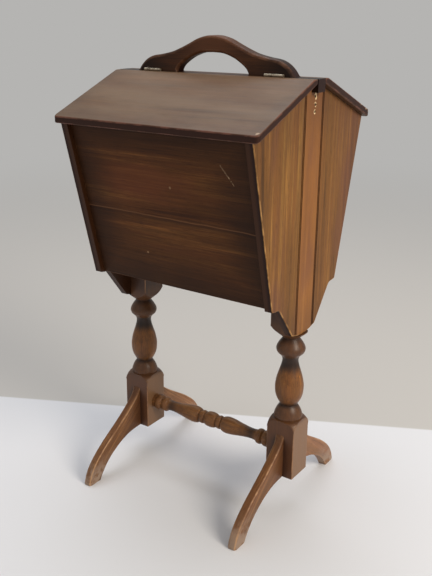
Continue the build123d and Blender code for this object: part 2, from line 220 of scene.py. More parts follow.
def varnished(name, chart, turn=(0, 0, 0), contrast=1.6, rough=0.40, coat=0.08, worn="8a6038", wear=0.6,
              tone=None, shine=0.3):
    """A stained and varnished wood. turn brings the grain to X; tone shades the colour by place."""
    material, tree, shader, place = blank(name)
    along = put(tree, "Mapping", {"Vector": place, "Rotation": turn}).outputs[0]
    light, middle, dark = [rgb(shade) for shade in chart]
    values = {"Vector": along, "Light": light, "Middle": middle, "Dark": dark, "Contrast": contrast}
    grain = put(tree, "Group", values, node_tree=wood_grain).outputs
    toned = tone(tree, place, grain["Color"]) if tone else grain["Color"]
    rubbed = masked(tree, arris_wear, {"Vector": place, "Amount": wear})
    relief = put(tree, "Bump", {"Height": grain["Height"], "Strength": 0.15, "Distance": 0.4 * MM})
    tree.links.new(mix(tree, rubbed, toned, rgb(worn)), shader.inputs["Base Color"])
    tree.links.new(plus(tree, grain["Roughness"], rough), shader.inputs["Roughness"])
    tree.links.new(relief.outputs[0], shader.inputs["Normal"])
    shader.inputs["Specular IOR Level"].default_value = shine
    shader.inputs["Coat Weight"].default_value = coat
    shader.inputs["Coat Roughness"].default_value = 0.22
    return material


def facing(tree, axis):
    """How far the surface faces along an axis of its own object: -1 to 1."""
    return axes(tree, put(tree, "TexCoord").outputs["Normal"])[axis]


def chipped(tree, place, colour, bare, centres, size):
    """The finish knocked off in small ragged flakes round each centre, given in millimetres."""
    for centre in centres:
        spot = {"Vector": place, "Centre": Vector(centre) * MM, "Half": Vector(size) * MM}
        colour = mix(tree, masked(tree, chip, spot), colour, rgb(bare))
    return colour


def through(points, steps):
    """A smooth line through the points, unevenly spaced or not, in so many steps from each to the next."""
    knots = [Vector((*p, 0)) for p in points]
    spans = [(b - a).length for a, b in zip(knots, knots[1:])]
    slopes = [(knots[1] - knots[0]) / spans[0]]
    slopes += [(c - a) / (s + t) for a, c, s, t in zip(knots, knots[2:], spans, spans[1:])]
    slopes += [(knots[-1] - knots[-2]) / spans[-1]]
    line = [knots[0]]
    for a, b, from_a, to_b, span in zip(knots, knots[1:], slopes, slopes[1:], spans):
        line += interpolate_bezier(a, a + from_a * span / 3, b - to_b * span / 3, b, steps + 1)[1:]
    return [(p.x, p.y) for p in line]


def thicken(bm, across):
    """Gives the flat faces of a board its thickness."""
    pushed = bmesh.ops.extrude_face_region(bm, geom=bm.faces[:])
    moved = [v for v in pushed["geom"] if isinstance(v, bmesh.types.BMVert)]
    bmesh.ops.translate(bm, verts=moved, vec=across)
    bmesh.ops.recalc_face_normals(bm, faces=bm.faces[:])


def sawn(outline, corner, across):
    """A board sawn to an outline in millimetres; corner puts a point in place, across is its thickness."""
    bm = bmesh.new()
    bm.faces.layers.float.new("arris")
    bm.faces.new([bm.verts.new(corner(a * MM, b * MM)) for a, b in outline])
    thicken(bm, across)
    return bm


def ease(bm, edges, width, segments=3):
    """Rounds the edges over and marks the new faces as arrises."""
    mark = bm.faces.layers.float["arris"]
    made = bmesh.ops.bevel(bm, geom=list(edges), offset=width, offset_type="OFFSET", segments=segments,
                           profile=0.5, affect="EDGES", material=-1, clamp_overlap=True)
    for face in made["faces"]:
        face[mark] = 1.0


def rim(bm, axis):
    """The edges round the two faces of a board that lies square across an axis."""
    bm.normal_update()
    found = []
    for edge in bm.edges:
        square = sorted(abs(face.normal[axis]) for face in edge.link_faces)
        if len(square) == 2 and square[0] < 0.1 and square[1] > 0.99:
            found.append(edge)
    return found


def placed(name, data):
    """A new object in the scene."""
    made = bpy.data.objects.new(name, data)
    bpy.context.scene.collection.objects.link(made)
    return made


def finish(bm, name, node, body, material, crease=38):
    """The piece made from bm: it stands for its CAD node and rides on its body."""
    mesh = bpy.data.meshes.new(name)
    bm.to_mesh(mesh)
    bm.free()
    mesh.set_sharp_from_angle(angle=math.radians(crease))
    mesh.materials.append(material)
    piece = placed(name, mesh)
    even = piece.modifiers.new("even_shading", "WEIGHTED_NORMAL")
    even.keep_sharp = True
    even.weight = 90
    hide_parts(node)
    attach(piece, body)


def panel_outline():
    """The outline of an end panel, from its foot round by the rear."""
    lean = [(88.8, 333.2), (146.3, 559.0)]
    notch = [(9.5, 613.7), (9.5, 603.5)]
    shoulder = through([(88.8, 333.2), (82.0, 331.8), (75.0, 331.5), (70.0, 329.4), (66.0, 325.0)], 4)[1:-1]
    tip = through([(32.0, 281.5), (17.0, 277.8), (0, 276.5), (-17.0, 277.8), (-32.0, 281.5)], 4)
    rear = [(66.0, 325.0)] + shoulder[::-1] + lean + notch
    mirrored = [(-y, z) for y, z in reversed(rear)]
    return tip[::-1] + rear + mirrored


def shade_panel(tree, place, colour):
    """Orange down the middle, clouded on each side, with painted shade under the lids, towards the rear, in
    the quirks and on the inner face; darkest on the edges.
    """
    x, y, z = axes(tree, place)
    off_middle = size_of(tree, y)
    outward = size_of(tree, x)
    strip = between(tree, off_middle, 0.028, 0.018)
    warm = mix(tree, times(tree, strip, 0.45), colour, rgb("a46a38"))
    cloud = between(tree, noise(tree, place, (9, 24, 7), 3.0, 0.55), 0.46, 0.66)
    shaded = mix(tree, times(tree, cloud, 0.42), warm, rgb("6b4536"))
    # Painted shade: the gable darkens under the lids, where their eaves shade it.
    lid_shadow = times(tree, between(tree, z, 0.500, 0.612), 0.42)
    shaded = mix(tree, lid_shadow, shaded, rgb("4a2e20"))
    # Painted shade: darker towards the rear, where the rear lid shades the panel.
    rear = times(tree, between(tree, y, 0.045, 0.135), 0.40)
    shaded = mix(tree, rear, shaded, rgb("6a4534"))
    foot = times(tree, between(tree, z, 0.345, 0.285), 0.28)
    shaded = mix(tree, foot, shaded, rgb("4a2e1c"))
    # Painted shade in the quirks: a dark line down each, and their walls also take the dark edge colour
    # below.
    from_quirk = apart(tree, apart(tree, off_middle, BEAD_Y), QUIRK_OUT)
    shaded = mix(tree, between(tree, from_quirk, 0.0014, 0.0007, 0.0, 0.85), shaded, rgb("351a0d"))
    edge_colour = mix(tree, between(tree, outward, 0.1495, 0.1440), rgb("220a02"), rgb("3a200f"))
    edge = between(tree, size_of(tree, facing(tree, 0)), 0.55, 0.30)
    # Painted shade: the inner face, seen under the case, takes the near black edge colour.
    inner_face_shade = between(tree, outward, 0.1412, 0.1408)
    edged = mix(tree, maths(tree, "MAXIMUM", edge, inner_face_shade), shaded, edge_colour)
    return chipped(tree, place, edged, "dfc397", NAIL_CHIPS, (2.2, 2.2, 3.2))


def plough_quirk(bm, quirk, outer_x, out):
    """A round-bottomed groove down the outer face, centred at a distance along Y."""
    for step in range(-QUIRK_CUTS, QUIRK_CUTS + 1):
        cut = quirk + QUIRK_R * math.sin(step / QUIRK_CUTS * math.pi / 2)
        geom = bm.verts[:] + bm.edges[:] + bm.faces[:]
        bmesh.ops.bisect_plane(bm, geom=geom, plane_co=(0, cut, 0), plane_no=(0, 1, 0))
    for v in bm.verts:
        off = abs(v.co.y - quirk)
        if off < QUIRK_R - 1e-6:
            floor_x = outer_x - out * math.sqrt(QUIRK_R ** 2 - off ** 2)
            v.co.x = min(v.co.x, floor_x) if out > 0 else max(v.co.x, floor_x)


panel_wood = varnished("panel_wood", ("a97e45", "835a2f", "523820"), turn=UPRIGHT, contrast=2.2,
                       worn="bd8f58", wear=0.7, tone=shade_panel, shine=0.12)

for side, out in (("right", 1), ("left", -1)):
    low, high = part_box(f"end_panel_{side}")
    inner_x = low.x if out > 0 else high.x
    outer_x = inner_x + out * PANEL_T
    bm = sawn(panel_outline(), lambda y, z: Vector((inner_x, y, z)), Vector((out * PANEL_T, 0, 0)))
    outer_rim = [e for e in rim(bm, 0) if abs(e.verts[0].co.x - outer_x) < 1e-6]
    ease(bm, [e for e in outer_rim if max(v.co.z for v in e.verts) < EASED_BELOW], PANEL_EASE)
    for bead in (BEAD_Y, -BEAD_Y):
        for across in (QUIRK_OUT, -QUIRK_OUT):
            plough_quirk(bm, bead + across, outer_x, out)
    finish(bm, f"panel_{side}", f"end_panel_{side}", "stand", panel_wood)


# ---- Front and rear boards --------------------------------------------------------------
# Two wide boards between the end panels, leaning outwards. The stain was sprayed darker
# round their borders, and years of handling have left a scratch and a few scuffs.

BOARD_EASE = 0.9 * MM
LONG_ARRIS = 200 * MM
ANY_DEPTH = 9.0
SPLIT_Z = 439.5 * MM
BOARD_CHIPS = [(-46.6, -94.0, 382.0), (12.9, -120.2, 484.7)]
# From, to, width, strength and colour of the two strokes of the scratch.
SCRATCHES = [((96.5, -130.2, 524.0), (107.5, -126.4, 508.5), 1.5, 0.45, "8a7057"),
             ((106.5, -126.8, 510.0), (113.0, -124.3, 500.0), 0.9, 0.9, "b89b78")]


def make_border_tone():
    """A mask that rises from the middle of a face to its border, with a soft uneven edge."""
    ins = {"Vector": "Vector", "Centre": "Vector", "Half": "Vector", "Start": "Float"}
    tree, given, out = group_with("border_tone", ins, {"Mask": "Float"})
    x, y, z = axes(tree, vectors(tree, "ABSOLUTE", in_halves(tree, given)))
    most = maths(tree, "MAXIMUM", maths(tree, "MAXIMUM", x, y), z)
    soft = uneven(tree, most, given["Vector"], 0.30, (14, 14, 14), 2.0)
    tree.links.new(between(tree, soft, given["Start"], 1.02), out["Mask"])
    return tree


def make_soft_patch():
    """A mask over one cloudy patch, of a given half size, round a centre."""
    ins = {"Vector": "Vector", "Centre": "Vector", "Half": "Vector"}
    tree, given, out = group_with("soft_patch", ins, {"Mask": "Float"})
    far = vectors(tree, "LENGTH", in_halves(tree, given))
    cloudy = uneven(tree, far, given["Vector"], 1.4, (18, 60, 60), 3.0)
    tree.links.new(between(tree, cloudy, 1.1, 0.2), out["Mask"])
    return tree


def make_scratch():
    """A mask along a broken line between two points."""
    ins = {"Vector": "Vector", "From": "Vector", "To": "Vector", "Width": "Float"}
    tree, given, out = group_with("scratch", ins, {"Mask": "Float"})
    away = vectors(tree, "SUBTRACT", given["Vector"], given["From"])
    line = vectors(tree, "SUBTRACT", given["To"], given["From"])
    over = vectors(tree, "DOT_PRODUCT", away, line)
    whole = vectors(tree, "DOT_PRODUCT", line, line)
    share = maths(tree, "DIVIDE", over, whole, clamp=True)
    nearest = put(tree, "VectorMath", {0: line, "Scale": share}, operation="SCALE").outputs[0]
    off = vectors(tree, "DISTANCE", away, nearest)
    gaps = between(tree, noise(tree, given["Vector"], (300, 300, 300), 3.0, 0.6), 0.35, 0.60, 0.05, 1.0)
    inside = maths(tree, "DIVIDE", off, times(tree, given["Width"], gaps))
    tree.links.new(between(tree, inside, 1.0, 0.5), out["Mask"])
    return tree


border_tone = make_border_tone()
soft_patch = make_soft_patch()
scratch = make_scratch()


def shade_board(tree, place, colour):
    """Darker at the border, redder in one patch, with one long split in the grain: a painted highlight along
    it and painted shade just below.
    """
    low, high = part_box("front_board")
    red = {"Vector": place, "Centre": Vector((-40, -120, 487)) * MM, "Half": Vector((95, 70, 42)) * MM}
    redder = mix(tree, times(tree, masked(tree, soft_patch, red), 0.38), colour, rgb("6b3823"))
    face = {"Vector": place, "Centre": Vector((0, 0, (low.z + high.z) / 2)),
            "Half": Vector((high.x, ANY_DEPTH, (high.z - low.z) / 2)), "Start": 0.42}
    shaded = mix(tree, times(tree, masked(tree, border_tone, face), 0.78), redder, rgb("26160e"))
    # Painted highlight along the split, and painted shade in a band just below it.
    wavering = uneven(tree, axes(tree, place)[2], place, 0.010, (11, 1, 1), 2.0)
    above = maths(tree, "SUBTRACT", wavering, SPLIT_Z)
    split = between(tree, size_of(tree, above), 0.0011, 0.0003)
    marked = mix(tree, times(tree, split, 0.38), shaded, rgb("80583c"))
    under = between(tree, size_of(tree, plus(tree, above, 0.0032)), 0.0028, 0.0006)
    marked = mix(tree, times(tree, under, 0.4), marked, rgb("1d100a"))
    for start, end, width, strength, bare in SCRATCHES:
        line = {"Vector": place, "From": Vector(start) * MM, "To": Vector(end) * MM, "Width": width * MM}
        marked = mix(tree, times(tree, masked(tree, scratch, line), strength), marked, rgb(bare))
    return chipped(tree, place, marked, "7f6044", BOARD_CHIPS, (1.6, 1.6, 1.9))


board_wood = varnished("board_wood", ("80552f", "5b381e", "321b0d"), contrast=1.7, rough=0.46, coat=0.0,
                       worn="7d5537", wear=0.6, tone=shade_board, shine=0.10)

for end in ("front", "rear"):
    low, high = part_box(f"{end}_board")
    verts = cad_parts[f"{end}_board"].data.vertices
    corners = sorted({(round(v.co.y / MM, 2), round(v.co.z / MM, 2)) for v in verts}, key=lambda c: c[1])
    foot, head = sorted(corners[:2]), sorted(corners[-2:], reverse=True)
    bm = sawn(foot + head, lambda y, z: Vector((low.x, y, z)), Vector((high.x - low.x, 0, 0)))
    ease(bm, [e for e in bm.edges if e.calc_length() > LONG_ARRIS], BOARD_EASE)
    finish(bm, f"{end}_slab", f"{end}_board", "stand", board_wood)


# ---- Inside the case --------------------------------------------------------------------
# The case's floor, the tray and its cleats are plain planed boards, thinly finished. Their
# arrises are only just broken.

TRAY_EASE = 0.6 * MM
TRAY_CHART = ("a37c50", "8a6238", "6a4524")
FLOOR_AND_CLEATS = ("bottom_board", "tray_cleat_left", "tray_cleat_right")
ALONG_Y = (0, 0, math.radians(90))

planed_wood = varnished("planed_wood", TRAY_CHART, contrast=1.3, rough=0.5, coat=0.0, worn="b48c60", wear=0.4)
across_wood = varnished("across_wood", TRAY_CHART, turn=ALONG_Y, contrast=1.3, rough=0.5, coat=0.0,
                        worn="b48c60", wear=0.4)
floor_wood = varnished("floor_wood", ("7c5838", "644229", "482c19"), contrast=1.3, rough=0.55, coat=0.0)


def eased_copy(part, material):
    """A board of the tray as the CAD has it, with its arrises broken."""
    bm = bmesh.new()
    bm.from_mesh(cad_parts[f"tray_{part}"].data)
    bm.faces.layers.float.new("arris")
    bmesh.ops.remove_doubles(bm, verts=bm.verts[:], dist=1e-6)
    bmesh.ops.dissolve_limit(bm, angle_limit=math.radians(1), verts=bm.verts[:], edges=bm.edges[:])
    sharp = [e for e in bm.edges if len(e.link_faces) == 2 and e.calc_face_angle() > 0.5]
    ease(bm, [e for e in sharp if e.calc_length() > 3 * MM], TRAY_EASE, 2)
    finish(bm, f"tray_{part}_piece", f"tray_{part}", "tray", material)


def dress(node, material):
    """Gives a piece that keeps its CAD shape its material."""
    node.data.materials.clear()
    node.data.materials.append(material)


for part in ("bottom", "front", "rear"):
    eased_copy(part, planed_wood)
for part in ("end_left", "end_right", "divider_left", "divider_right"):
    eased_copy(part, across_wood)
for name in FLOOR_AND_CLEATS:
    dress(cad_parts[name], floor_wood)


# ---- Lids -------------------------------------------------------------------------------
# Two plain boards, their eave corners rounded and all their arrises eased. The tops carry a film of dust with
# a painted sheen, and wear through the varnish; the edges have kept a darker, redder stain.

LID_OUTLINE = [(10.3, 620.0), (19.2, 620.0), (150.6, 567.2), (150.6, 557.5), (10.3, 613.88)]
RIDGE_FLAT = 19.2 * MM
EAVE = 150.6 * MM
RIDGE_FLAT_EASE = 2.5 * MM
EAVE_CORNER = 5.5 * MM
LID_EASE = 1.7 * MM
LID_CHIPS = [(157, -145.5, 569.0), (160.3, 147, 566.5), (160.7, 139, 571.0), (160.8, 122, 578.0)]


def shade_lid(tree, place, colour):
    """A film of dust with a painted sheen on the top; the sawn edges are near black, and the corners have
    lost chips.
    """
    low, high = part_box("front_lid")
    face = {"Vector": place, "Centre": (0, 0, 0), "Half": (high.x, -low.y, ANY_DEPTH), "Start": 0.80}
    toned = mix(tree, times(tree, masked(tree, border_tone, face), 0.5), colour, rgb("33211a"))
    upward = facing(tree, 2)
    # Dust and painted sheen: the upward faces turn a lighter grey brown in a cloudy film.
    film = noise(tree, place, (7, 26, 26), 4.0, 0.6)
    dust_and_sheen = times(tree, between(tree, upward, 0.55, 0.90), between(tree, film, 0.25, 0.75, 0.10, 0.38))
    dusted_and_sheened = mix(tree, dust_and_sheen, toned, rgb("8c7760"))
    edge = between(tree, size_of(tree, upward), 0.55, 0.35)
    edged = mix(tree, times(tree, edge, 0.9), dusted_and_sheened, rgb("280d03"))
    return chipped(tree, place, edged, "a88f76", LID_CHIPS, (2.2, 2.8, 1.9))


def edges_at(bm, distance):
    """The edges that lie this far from the ridge, in front or behind."""
    return [e for e in bm.edges if all(abs(abs(v.co.y) - distance) < 1e-5 for v in e.verts)]


lid_wood = varnished("lid_wood", ("7a5840", "62452f", "442d1d"), contrast=1.7, worn="70483a", wear=0.7,
                     tone=shade_lid, shine=0.18)

for end, out in (("front", -1), ("rear", 1)):
    low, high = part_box(f"{end}_lid")
    bm = sawn(LID_OUTLINE, lambda y, z: Vector((low.x, out * y, z)), Vector((high.x - low.x, 0, 0)))
    ease(bm, [e for e in edges_at(bm, EAVE) if e.calc_length() < 20 * MM], EAVE_CORNER, 8)
    ease(bm, [e for e in edges_at(bm, RIDGE_FLAT) if e.calc_length() > 100 * MM], RIDGE_FLAT_EASE, 4)
    # The varnish stays on the round corners and along the ridge: only the arrises wear.
    mark = bm.faces.layers.float["arris"]
    for face in bm.faces:
        face[mark] = 0.0
    bm.normal_update()
    around = [e for e in bm.edges if len(e.link_faces) == 2 and e.calc_face_angle() > math.radians(50)]
    ease(bm, around, LID_EASE, 4)
    finish(bm, f"{end}_lid_board", f"{end}_lid", f"{end}_lid", lid_wood)


# ---- Handle board -----------------------------------------------------------------------
# Ridge board and carrying handle, bandsawn in one from a thick board. The crest and the
# grip are rounded over with a router, and hands have polished them.

LID_TOP = 620.0
CREST_ROUND = 4.0 * MM


def handle_half():
    """The right half of the handle board's outline, from the middle of its foot."""
    crest = through([(126.8, LID_TOP), (120.5, 628.6), (112.0, 635.9), (100.9, 640.8), (84.8, 643.4),
                     (66.6, 647.4), (52.5, 652.6), (38.3, 658.8), (24.2, 665.2), (10.0, 668.9),
                     (0, 669.6)], 4)
    grip = through([(0, 647.7), (17.0, 646.6), (33.0, 641.5), (45.0, 634.8), (54.0, 627.6),
                    (58.5, LID_TOP)], 4)
    foot = [(0, 560.0), (140.5, 560.0), (140.5, 603.5), (161.0, 603.5), (161.0, LID_TOP)]
    return foot + crest + grip + [(0, LID_TOP)]


def shade_handle(tree, place, colour):
    """Black towards the ends of the crest, redder and lighter where hands have held it."""
    across = size_of(tree, axes(tree, place)[0])
    held = mix(tree, between(tree, across, 0.060, 0.010, 0.0, 0.4), colour, rgb("6e442b"))
    ends = times(tree, between(tree, across, 0.055, 0.120), 0.92)
    dark = mix(tree, ends, held, rgb("1a0e08"))
    end_grain = between(tree, size_of(tree, facing(tree, 0)), 0.35, 0.80)
    return mix(tree, end_grain, dark, rgb("26130e"))


handle_wood = varnished("handle_wood", ("633d26", "462a1a", "26160d"), contrast=1.5, worn="73503a", wear=0.45,
                        tone=shade_handle, shine=0.13)

low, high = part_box("handle_board")
bm = bmesh.new()
bm.faces.layers.float.new("arris")
right = [bm.verts.new((x * MM, low.y, z * MM)) for x, z in handle_half()]
left = [v if v.co.x < 1e-6 else bm.verts.new((-v.co.x, low.y, v.co.z)) for v in right]
for outline in (right, left):
    bm.faces.new(outline)
thicken(bm, (0, high.y - low.y, 0))
above_lids = [e for e in rim(bm, 1) if min(v.co.z for v in e.verts) > (LID_TOP - 0.1) * MM]
ease(bm, [e for e in above_lids if max(v.co.z for v in e.verts) > (LID_TOP + 0.1) * MM], CREST_ROUND, 5)
finish(bm, "handle", "handle_board", "stand", handle_wood)


# ---- Posts ------------------------------------------------------------------------------
# Turned between centres from square stock, so square blocks are left at the top and at the
# foot, with a bulb, a vase and a bell between. The stain is sprayed near black in the
# hollows and left thin on the swellings.

POST_X = 133.5
POST_HALF = 22.0
POST_FOOT = 53.0
POST_TOP = 340.0
PAST_CORNER = 0.6
FOOT_CHAMFER = 0.6
HEAD = 276.0
HEAD_IN = 7.0
NOTCH_STEP = 0.02
POST_STEPS = 128
POST_EASE = 1.0 * MM


def lathe(profile, steps, axis, centre):
    """A profile of (radius, length along the axis) in millimetres, spun once round."""
    bm = bmesh.new()
    bm.faces.layers.float.new("arris")
    along = Vector(axis)
    out = Vector((1, 0, 0)) if along.z else Vector((0, 0, 1))
    verts = [bm.verts.new(Vector(centre) + out * r * MM + along * t * MM) for r, t in profile]
    for a, b in zip(verts, verts[1:]):
        bm.edges.new((a, b))
    bmesh.ops.spin(bm, geom=bm.verts[:] + bm.edges[:], cent=centre, axis=along, angle=2 * math.pi,
                   steps=steps, use_merge=True)
    bmesh.ops.remove_doubles(bm, verts=bm.verts[:], dist=1e-6)
    bmesh.ops.recalc_face_normals(bm, faces=bm.faces[:])
    return bm


def post_profile():
    """The post's turning, from its foot up: blocks are wider than the stock, and get squared."""
    corner = POST_HALF * math.sqrt(2) + PAST_CORNER
    foot = [(0, POST_FOOT), (corner, POST_FOOT), (corner, POST_FOOT + FOOT_CHAMFER)]
    pommel = through([(corner, 127.8), (30.6, 132.4), (28.2, 137.0), (24.5, 140.6), (20.1, 142.1)], 8)
    bell = through([(20.4, 143.0), (20.7, 145.4), (19.6, 149.4), (17.6, 154.6), (14.6, 159.6),
                    (12.2, 162.3)], 4)
    vase = through([(12.2, 162.7), (14.6, 167.2), (17.8, 173.4), (19.8, 180.0), (20.6, 189.8), (20.2, 196.0),
                    (18.3, 205.7), (15.0, 216.6), (12.7, 224.2), (11.4, 231.6), (12.6, 237.0),
                    (15.4, 240.8)], 5)
    bulb = through([(16.0, 241.2), (19.4, 244.8), (20.7, 250.4), (17.7, 257.5), (13.6, 263.4),
                    (11.4, 266.2)], 6)
    neck = through([(11.4, 266.5), (16.0, 270.4), (22.5, HEAD)], 5)
    shoulder = through([(22.5, HEAD + NOTCH_STEP), (27.4, 280.6), (corner, 286.3)], 14)
    return foot + pommel + bell + vase + bulb + neck + shoulder + [(corner, POST_TOP), (0, POST_TOP)]


def square_up(bm, x, side):
    """Trims the turning to its square stock, and notches the head for the end panel."""
    for v in bm.verts:
        half = (POST_HALF - max(0.0, POST_FOOT + FOOT_CHAMFER - v.co.z / MM)) * MM
        most = max(abs(v.co.x - x), abs(v.co.y))
        if most > half:
            v.co.x = x + (v.co.x - x) * half / most
            v.co.y *= half / most
        if v.co.z > (HEAD + NOTCH_STEP / 2) * MM:
            v.co.x = min(v.co.x, x + HEAD_IN * MM) if side > 0 else max(v.co.x, x - HEAD_IN * MM)
    bmesh.ops.remove_doubles(bm, verts=bm.verts[:], dist=1e-6)


def shade_turning(tree, place, colour, centre, across, thin, thick):
    """Near black where the turning is thin, clouded elsewhere. across says which axes are its radius."""
    away = vectors(tree, "SUBTRACT", place, centre)
    radius = vectors(tree, "LENGTH", vectors(tree, "MULTIPLY", away, across))
    hollow = times(tree, between(tree, radius, thick * MM, thin * MM), 0.92)
    cloud = between(tree, noise(tree, place, (34, 34, 22), 4.0, 0.6), 0.48, 0.68)
    clouded = mix(tree, times(tree, cloud, 0.45), colour, rgb("432a1c"))
    return mix(tree, hollow, clouded, rgb("1a0f0a"))


def shade_post_at(x):
    """The stain of the post that stands at x: orange vase, brown bulb and blocks, a dark head; with painted
    shade beside the leg and painted light on the blocks' faces along +X.
    """
    def shade(tree, place, colour):
        across, _, up = axes(tree, place)
        toned = shade_turning(tree, place, colour, (x, 0, 0), (1, 1, 0), 12.0, 16.8)
        bell = between(tree, up, 0.170, 0.155)
        bulb = between(tree, up, 0.232, 0.246)
        toned = mix(tree, times(tree, maths(tree, "MAXIMUM", bell, bulb), 0.68), toned, rgb("432b1d"))
        block = between(tree, up, 0.144, 0.134)
        toned = mix(tree, times(tree, block, 0.35), toned, rgb("613d2b"))
        # Painted shade in the corner where the leg meets the block.
        beside_leg = between(tree, apart(tree, across, x), 0.018, 0.007)
        shade_by_leg = times(tree, beside_leg, between(tree, up, 0.124, 0.108))
        toned = mix(tree, times(tree, shade_by_leg, 0.6), toned, rgb("26150e"))
        # Painted light: the blocks' faces that look along +X are lighter, as if lit from that side.
        lit_block_face = times(tree, block, between(tree, facing(tree, 0), 0.3, 0.9))
        toned = mix(tree, times(tree, lit_block_face, 0.5), toned, rgb("94714f"))
        head = between(tree, up, 0.282, 0.300)
        return mix(tree, times(tree, head, 0.6), toned, rgb("2e1a12"))
    return shade


for side, sign in (("right", 1), ("left", -1)):
    x = sign * POST_X * MM
    post_wood = varnished(f"post_wood_{side}", ("b4783a", "80532a", "452a18"), turn=UPRIGHT, contrast=1.5,
                          rough=0.36, worn="a07552", wear=0.8, tone=shade_post_at(x))
    bm = lathe(post_profile(), POST_STEPS, (0, 0, 1), (x, 0, 0))
    square_up(bm, x, sign)
    corner = (POST_HALF - 0.02) * MM
    corners = [e for e in bm.edges if all(min(abs(v.co.x - x), abs(v.co.y)) > corner for v in e.verts)]
    ease(bm, [e for e in corners if e.calc_length() > 10 * MM], POST_EASE, 3)
    finish(bm, f"turned_post_{side}", f"post_{side}", "stand", post_wood, crease=32)


# ---- Stretcher --------------------------------------------------------------------------
# A rail turned with a centre bead, two slim vases and a pair of rings at each end, tenoned
# into the posts. It is stained like the posts, dark between the rings.

STRETCHER_Z = 93 * MM
STRETCHER_STEPS = 72
BEAD_STEPS = 8
TENON = [(7.95, 111.6), (7.95, 129.5), (0, 129.5)]


def turned_bead(start, stop, edge, middle):
    """A bead as (radius, x): edge is its radius at the ends."""
    turns = [math.pi * step / BEAD_STEPS for step in range(BEAD_STEPS + 1)]
    return [(edge + (middle - edge) * math.sin(a), (start + stop) / 2 - (stop - start) / 2 * math.cos(a))
            for a in turns]


def stretcher_half():
    """Right half of the rail as (radius, x), from the middle of the centre bead."""
    turns = [math.pi / 2 * step / BEAD_STEPS for step in range(BEAD_STEPS + 1)]
    half_bead = [(8.4 + 3.8 * math.cos(turn), 10.2 * math.sin(turn)) for turn in turns]
    rings = turned_bead(11.5, 20.0, 8.4, 10.6)
    vase = through([(8.7, 21.1), (10.9, 22.2), (12.4, 26.0), (13.0, 31.0), (12.2, 41.0), (10.2, 53.0),
                    (8.4, 66.0), (7.9, 75.5), (8.4, 81.0), (9.0, 83.4)], 5)
    ends = turned_bead(83.8, 93.6, 9.0, 11.8) + turned_bead(95.3, 106.2, 9.4, 12.6)
    collar = [(11.4, 107.0), (11.0, 111.5)]
    return half_bead + [(8.3, 10.8)] + rings + [(8.4, 20.6)] + vase + ends + collar + TENON


def shade_stretcher(tree, place, colour):
    return shade_turning(tree, place, colour, (0, 0, STRETCHER_Z), (0, 1, 1), 7.4, 9.0)


stretcher_wood = varnished("stretcher_wood", ("a67748", "7f5631", "4c301d"), contrast=1.5,
                           tone=shade_stretcher)

right = stretcher_half()
whole = [(r, -x) for r, x in reversed(right)] + right[1:]
bm = lathe(whole, STRETCHER_STEPS, (1, 0, 0), (0, 0, STRETCHER_Z))
finish(bm, "turned_stretcher", "stretcher", "stand", stretcher_wood, crease=32)


# ---- Legs -------------------------------------------------------------------------------
# Four curved feet bandsawn from half-inch board, the grain running down the leg. Their upper
# edges are rounded over, and the varnish is worn off at the toes.

LEG_T = 12.7
LEG_ROUND = 3.0
LEG_CRISP = 0.8
LEG_SLOPE = 38
LEG_STATIONS = 40
CORNER_STEPS = 4
# The front legs' chart is darker and the rear legs' lighter: painted shade and painted light on one wood.
LEG_CHARTS_LIT_AND_SHADED = {"front": ("9f744d", "785134", "4c2f1e"), "rear": ("b48763", "916647", "62412c")}


def evenly(line, count):
    """count points along a line of points, the same distance apart, with both its ends."""
    knots = [Vector(p) for p in line]
    run = [0.0]
    for a, b in zip(knots, knots[1:]):
        run.append(run[-1] + (b - a).length)
    found = []
    for step in range(count):
        want = run[-1] * step / (count - 1)
        at = max(i for i in range(len(knots) - 1) if run[i] <= want)
        found.append(knots[at].lerp(knots[at + 1], (want - run[at]) / (run[at + 1] - run[at])))
    return found


def leg_sections():
    """Pairs of points across a leg, from its under side to its top, from the post to the sole."""
    top = through([(22.0, 120.0), (25.0, 113.5), (30.0, 106.8), (42.0, 96.6), (54.0, 87.6), (66.0, 79.4),
                   (80.5, 70.2), (103.0, 56.0), (120.0, 43.4), (131.0, 33.6), (139.0, 24.0), (145.0, 13.4),
                   (148.5, 3.2)], 4)
    under = through([(22.0, 53.0), (36.0, 52.4), (52.0, 50.4), (70.0, 44.6), (82.0, 38.8), (94.0, 31.8),
                     (104.0, 24.2), (111.0, 17.0), (118.0, 8.6), (123.6, 0)], 4)
    heel = [Vector((148.2, 0.9)), Vector((146.2, 0))]
    upper = evenly(top, LEG_STATIONS) + heel
    return list(zip(evenly(under, len(upper)), upper))


def leg_ring(bm, low, high, place):
    """A section of a leg between two points: hard-worn arrises above, crisper ones below."""
    half = LEG_T / 2
    reach = (high - low).length
    up = (high - low).normalized()
    rounds = [(half - LEG_CRISP, LEG_CRISP, LEG_CRISP, -90),
              (half - LEG_ROUND, reach - LEG_ROUND, LEG_ROUND, 0),
              (LEG_ROUND - half, reach - LEG_ROUND, LEG_ROUND, 90),
              (LEG_CRISP - half, LEG_CRISP, LEG_CRISP, 180)]
    verts = []
    for x, rise, radius, start in rounds:
        for step in range(CORNER_STEPS + 1):
            angle = math.radians(start + 90 / CORNER_STEPS * step)
            at = low + up * (rise + radius * math.sin(angle))
            verts.append(bm.verts.new(place(x + radius * math.cos(angle), at.x, at.y)))
    return [bm.edges.new(pair) for pair in zip(verts, verts[1:] + verts[:1])]


def shade_leg(tree, place, colour):
    """Rubbed pale at the toe, darker where the leg meets its post."""
    _, along, up = axes(tree, place)
    root = times(tree, between(tree, size_of(tree, along), 0.055, 0.022), 0.5)
    darker = mix(tree, root, colour, rgb("3a2116"))
    patches = between(tree, noise(tree, place, (70, 70, 70), 4.0, 0.6), 0.36, 0.58, 0.05, 0.75)
    rubbed = times(tree, between(tree, up, 0.050, 0.004), patches)
    return mix(tree, rubbed, darker, rgb("a08a78"))


